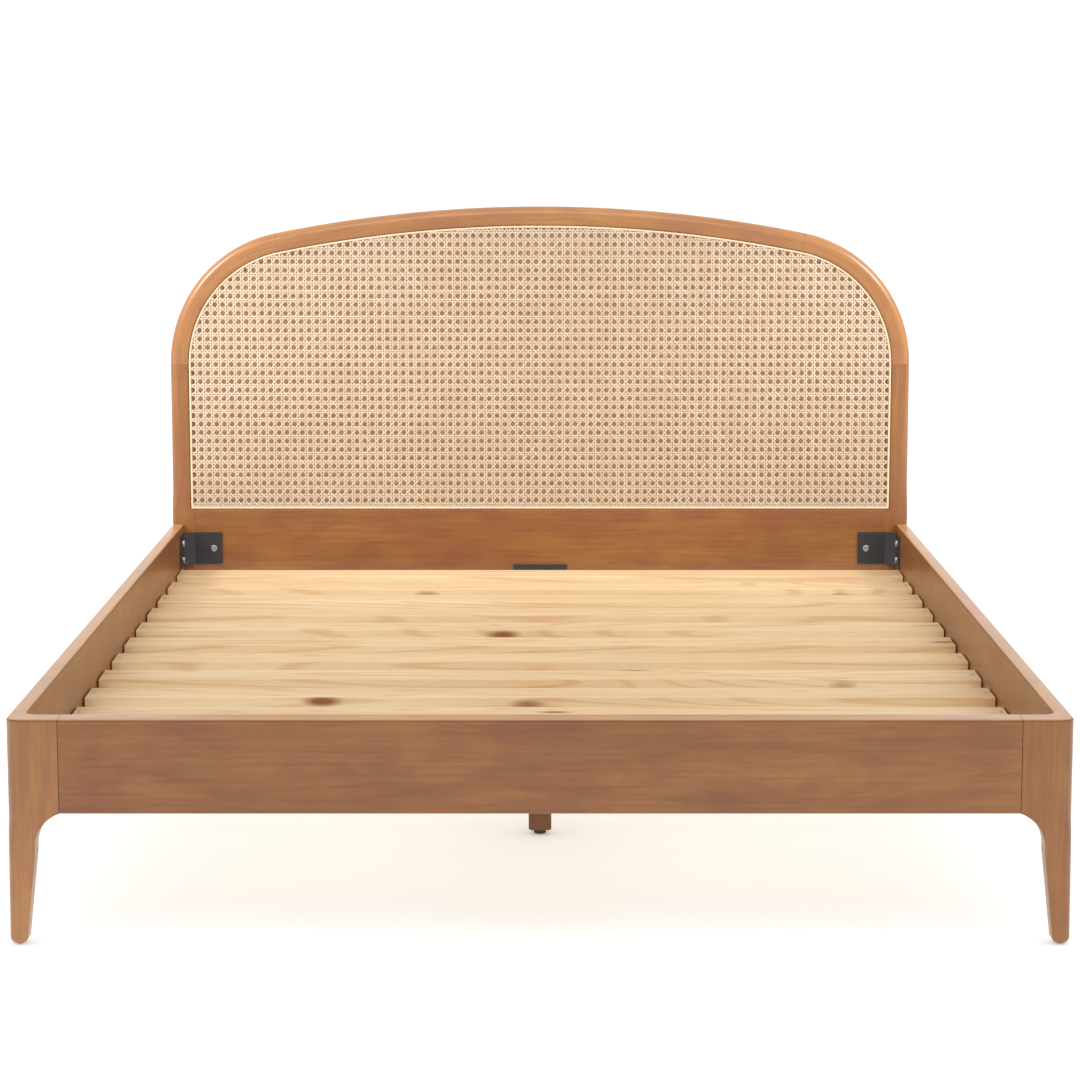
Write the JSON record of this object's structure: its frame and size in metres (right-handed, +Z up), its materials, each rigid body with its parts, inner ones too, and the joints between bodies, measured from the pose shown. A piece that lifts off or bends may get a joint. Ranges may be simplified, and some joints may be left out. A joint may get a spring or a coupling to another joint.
{
  "type": "wooden bed frame",
  "caption": "Queen-size wooden bed frame with an arched cane headboard, low rails, tapered legs, a slatted base and levelling feet under its centre beam.",
  "frame": {"origin": "on the floor, under the middle of the bed's outer box", "axes": "+X across the bed towards its right side as seen from the foot, +Y along the bed from the foot end to the headboard, +Z up"},
  "size_m": [1.62, 2.13, 1.048],
  "materials": {
    "stained_wood": "satin",
    "panel_wood": "matte",
    "cane": "satin",
    "reed": "satin",
    "pine": "matte",
    "black_steel": "satin",
    "zinc_steel": "satin",
    "foot_plastic": "matte"
  },
  "bodies": {
    "frame": {"backing_panel": "panel_wood", "beam_hanger_foot": "black_steel", "beam_hanger_head": "black_steel", "cane_panel": "cane", "cane_spline": "reed", "center_beam": "pine", "center_leg_bolt_front": "zinc_steel", "center_leg_bolt_rear": "zinc_steel", "center_leg_front": "stained_wood", "center_leg_rear": "stained_wood", "corner_bracket_foot_left": "black_steel", "corner_bracket_foot_right": "black_steel", "corner_bracket_head_left": "black_steel", "corner_bracket_head_right": "black_steel", "cross_bolt_foot_left": "zinc_steel", "cross_bolt_foot_right": "zinc_steel", "cross_bolt_head_left": "zinc_steel", "cross_bolt_head_right": "zinc_steel", "foot_left_leg": "stained_wood", "foot_rail": "stained_wood", "foot_right_leg": "stained_wood", "glide_foot_left": "foot_plastic", "glide_foot_right": "foot_plastic", "glide_head_left": "foot_plastic", "glide_head_right": "foot_plastic", "headboard_bottom_rail": "stained_wood", "headboard_left_post": "stained_wood", "headboard_left_shoulder": "stained_wood", "headboard_right_post": "stained_wood", "headboard_right_shoulder": "stained_wood", "headboard_top_arch": "stained_wood", "side_bolt_lower_foot_left": "zinc_steel", "side_bolt_lower_foot_right": "zinc_steel", "side_bolt_lower_head_left": "zinc_steel", "side_bolt_lower_head_right": "zinc_steel", "side_bolt_upper_foot_left": "zinc_steel", "side_bolt_upper_foot_right": "zinc_steel", "side_bolt_upper_head_left": "zinc_steel", "side_bolt_upper_head_right": "zinc_steel", "side_rail_left": "stained_wood", "side_rail_right": "stained_wood", "slat_01": "pine", "slat_02": "pine", "slat_03": "pine", "slat_04": "pine", "slat_05": "pine", "slat_06": "pine", "slat_07": "pine", "slat_08": "pine", "slat_09": "pine", "slat_10": "pine", "slat_11": "pine", "slat_12": "pine", "slat_ledge_left": "pine", "slat_ledge_right": "pine", "threaded_insert_front": "zinc_steel", "threaded_insert_rear": "zinc_steel"},
    "front_foot": {"leveller_front": "foot_plastic"},
    "rear_foot": {"leveller_rear": "foot_plastic"}
  },
  "joints": [
    {"name": "front_foot_height", "type": "slide", "parent": "frame", "child": "front_foot", "axis": [0, 0, 1], "range_m": [0, 0.006]},
    {"name": "rear_foot_height", "type": "slide", "parent": "frame", "child": "rear_foot", "axis": [0, 0, 1], "range_m": [0, 0.006]}
  ]
}
